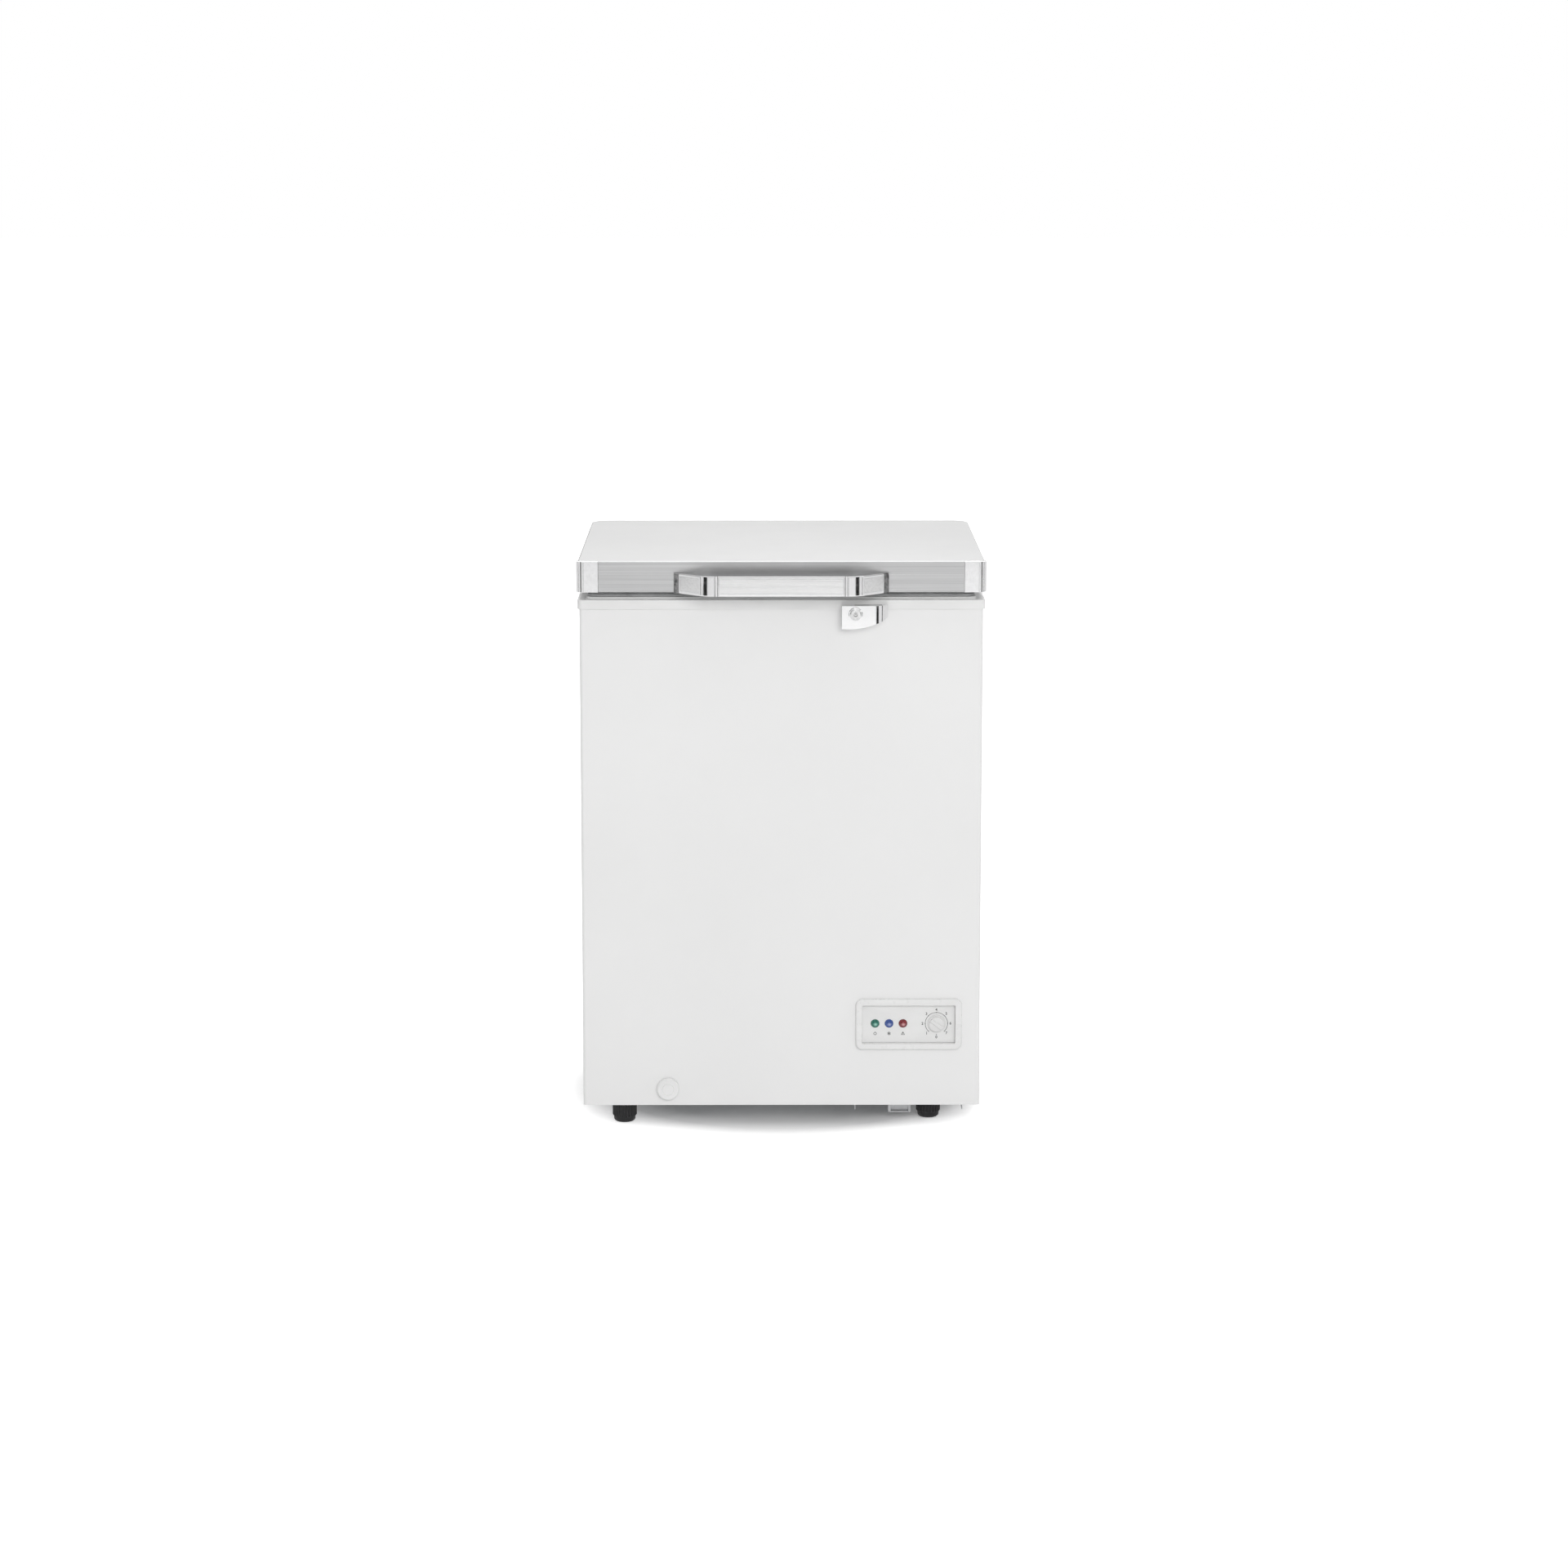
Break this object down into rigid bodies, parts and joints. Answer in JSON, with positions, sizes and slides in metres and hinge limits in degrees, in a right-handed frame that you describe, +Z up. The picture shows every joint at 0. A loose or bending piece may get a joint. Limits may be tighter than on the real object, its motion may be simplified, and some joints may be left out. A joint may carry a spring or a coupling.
{
  "type": "chest freezer",
  "caption": "Small chest freezer: hinged lid with handle and lock, insulated tub with wire basket, compressor bay, control panel, drain and screw feet.",
  "frame": {"origin": "on the floor, at the middle of the object's plan box", "axes": "+Z up, -Y towards the front with the handle and controls, +X to the right of someone facing the front"},
  "size_m": [0.57, 0.598, 0.81],
  "materials": {
    "cabinet_paint": "satin white enamel",
    "hinge_paint": "white powder coat",
    "galvanised_steel": "zinc coated sheet",
    "stucco_aluminium": "embossed sheet",
    "tube_aluminium": "drawn tube",
    "tube_steel": "black lacquered tube",
    "insulation_foam": "rigid polyurethane foam",
    "white_plastic": "moulded, satin",
    "fascia_plastic": "printed face",
    "black_plastic": "moulded, matt",
    "grey_plastic": "moulded",
    "circuit_board": "solder mask",
    "switch_body": "pressed steel case",
    "green_lens": "clear moulded",
    "blue_lens": "clear moulded",
    "red_lens": "clear moulded",
    "compressor_paint": "black enamel",
    "black_rubber": "moulded",
    "grey_rubber": "moulded",
    "grey_gasket": "soft extruded",
    "copper_tube": "drawn copper",
    "bright_chrome": "plated, satin bright",
    "satin_steel": "turned",
    "zinc_steel": "zinc plated",
    "spring_steel": "oiled spring wire",
    "brushed_trim": "brushed along its length",
    "brushed_inlay": "brushed along its length",
    "basket_wire": "white plastic coated wire"
  },
  "bodies": {
    "cabinet": {"wrapper": "cabinet_paint", "back_panel": "cabinet_paint", "hinge_base_left": "hinge_paint", "hinge_base_right": "hinge_paint", "base_panel": "galvanised_steel", "compressor_tray": "galvanised_steel", "compartment_cover": "galvanised_steel", "tub_liner": "stucco_aluminium", "evaporator_coil": "tube_aluminium", "condenser_coil": "tube_steel", "cabinet_foam": "insulation_foam", "top_frame": "white_plastic", "control_bezel": "white_plastic", "control_fascia": "fascia_plastic", "relay_cover": "black_plastic", "lamp_board": "circuit_board", "thermostat_body": "switch_body", "cord_gland": "black_plastic", "drain_tube": "grey_plastic", "lens_green": "green_lens", "lens_blue": "blue_lens", "lens_red": "red_lens", "compressor": "compressor_paint", "mount_grommets": "black_rubber", "pipework": "copper_tube", "filter_dryer": "copper_tube", "lock_housing": "bright_chrome", "cabinet_fasteners": "zinc_steel", "foot_nuts": "zinc_steel", "hinge_pins": "zinc_steel"},
    "lid": {"lid_skin": "cabinet_paint", "lid_foam": "insulation_foam", "lid_liner": "white_plastic", "lid_gasket": "grey_gasket", "lid_front_trim": "brushed_trim", "corner_cap_left": "bright_chrome", "corner_cap_right": "bright_chrome", "lid_handle": "bright_chrome", "handle_inlays": "brushed_inlay", "lid_fasteners": "zinc_steel", "hinge_leaf_left": "hinge_paint", "hinge_leaf_right": "hinge_paint"},
    "plunger_left": {"hinge_plunger_left": "zinc_steel", "hinge_spring_left": "spring_steel"},
    "plunger_right": {"hinge_plunger_right": "zinc_steel", "hinge_spring_right": "spring_steel"},
    "lock": {"lock_barrel": "satin_steel", "lock_hook": "zinc_steel"},
    "thermostat_knob": {"thermostat_knob": "white_plastic"},
    "drain_cap": {"drain_cap": "white_plastic"},
    "drain_stopper": {"drain_stopper": "grey_rubber"},
    "basket": {"basket": "basket_wire"},
    "stud_front_left": {"foot_stud_front_left": "zinc_steel"},
    "foot_front_left": {"foot_knob_front_left": "black_plastic"},
    "stud_front_right": {"foot_stud_front_right": "zinc_steel"},
    "foot_front_right": {"foot_knob_front_right": "black_plastic"},
    "stud_back_left": {"foot_stud_back_left": "zinc_steel"},
    "foot_back_left": {"foot_knob_back_left": "black_plastic"},
    "stud_back_right": {"foot_stud_back_right": "zinc_steel"},
    "foot_back_right": {"foot_knob_back_right": "black_plastic"}
  },
  "joints": [
    {"name": "lid_hinge", "type": "hinge", "parent": "cabinet", "child": "lid", "pos_m": [0, 0.2885, 0.756], "axis": [-1, 0, 0], "range_deg": [0, 80]},
    {"name": "plunger_slide_left", "type": "slide", "parent": "cabinet", "child": "plunger_left", "axis": [0, 0, 1], "range_m": [0, 0.01277], "deforming": ["hinge_spring_left"]},
    {"name": "plunger_slide_right", "type": "slide", "parent": "cabinet", "child": "plunger_right", "axis": [0, 0, 1], "range_m": [0, 0.01277], "deforming": ["hinge_spring_right"]},
    {"name": "lock_turn", "type": "hinge", "parent": "cabinet", "child": "lock", "pos_m": [0.103, -0.262, 0.7375], "axis": [0, -1, 0], "range_deg": [0, 80]},
    {"name": "thermostat_turn", "type": "hinge", "parent": "cabinet", "child": "thermostat_knob", "pos_m": [0.22, -0.2355, 0.149], "axis": [0, 1, 0], "range_deg": [-128, 187]},
    {"name": "drain_cap_pull", "type": "slide", "parent": "cabinet", "child": "drain_cap", "axis": [0, -1, 0], "range_m": [0, 0.045]},
    {"name": "drain_stopper_lift", "type": "slide", "parent": "cabinet", "child": "drain_stopper", "axis": [0, 0, 1], "range_m": [0, 0.05]},
    {"name": "basket_slide", "type": "slide", "parent": "cabinet", "child": "basket", "axis": [1, 0, 0], "range_m": [0, 0.23]},
    {"name": "foot_height_front_left", "type": "slide", "parent": "cabinet", "child": "stud_front_left", "axis": [0, 0, -1], "range_m": [0, 0.01]},
    {"name": "foot_turn_front_left", "type": "hinge", "parent": "stud_front_left", "child": "foot_front_left", "pos_m": [-0.224, -0.2045, 0], "axis": [0, 0, 1], "range_deg": [0, 2882]},
    {"name": "foot_height_front_right", "type": "slide", "parent": "cabinet", "child": "stud_front_right", "axis": [0, 0, -1], "range_m": [0, 0.01]},
    {"name": "foot_turn_front_right", "type": "hinge", "parent": "stud_front_right", "child": "foot_front_right", "pos_m": [0.211, -0.1805, 0], "axis": [0, 0, 1], "range_deg": [0, 2882]},
    {"name": "foot_height_back_left", "type": "slide", "parent": "cabinet", "child": "stud_back_left", "axis": [0, 0, -1], "range_m": [0, 0.01]},
    {"name": "foot_turn_back_left", "type": "hinge", "parent": "stud_back_left", "child": "foot_back_left", "pos_m": [-0.224, 0.2265, 0], "axis": [0, 0, 1], "range_deg": [0, 2882]},
    {"name": "foot_height_back_right", "type": "slide", "parent": "cabinet", "child": "stud_back_right", "axis": [0, 0, -1], "range_m": [0, 0.01]},
    {"name": "foot_turn_back_right", "type": "hinge", "parent": "stud_back_right", "child": "foot_back_right", "pos_m": [0.211, 0.2265, 0], "axis": [0, 0, 1], "range_deg": [0, 2882]}
  ],
  "couplings": [
    {"joint": "plunger_slide_left", "follows": "lid_hinge", "m_per_rad": 0.009},
    {"joint": "plunger_slide_right", "follows": "lid_hinge", "m_per_rad": 0.009},
    {"joint": "foot_turn_front_left", "follows": "foot_height_front_left", "rad_per_m": 5026.5},
    {"joint": "foot_turn_front_right", "follows": "foot_height_front_right", "rad_per_m": 5026.5},
    {"joint": "foot_turn_back_left", "follows": "foot_height_back_left", "rad_per_m": 5026.5},
    {"joint": "foot_turn_back_right", "follows": "foot_height_back_right", "rad_per_m": 5026.5}
  ]
}
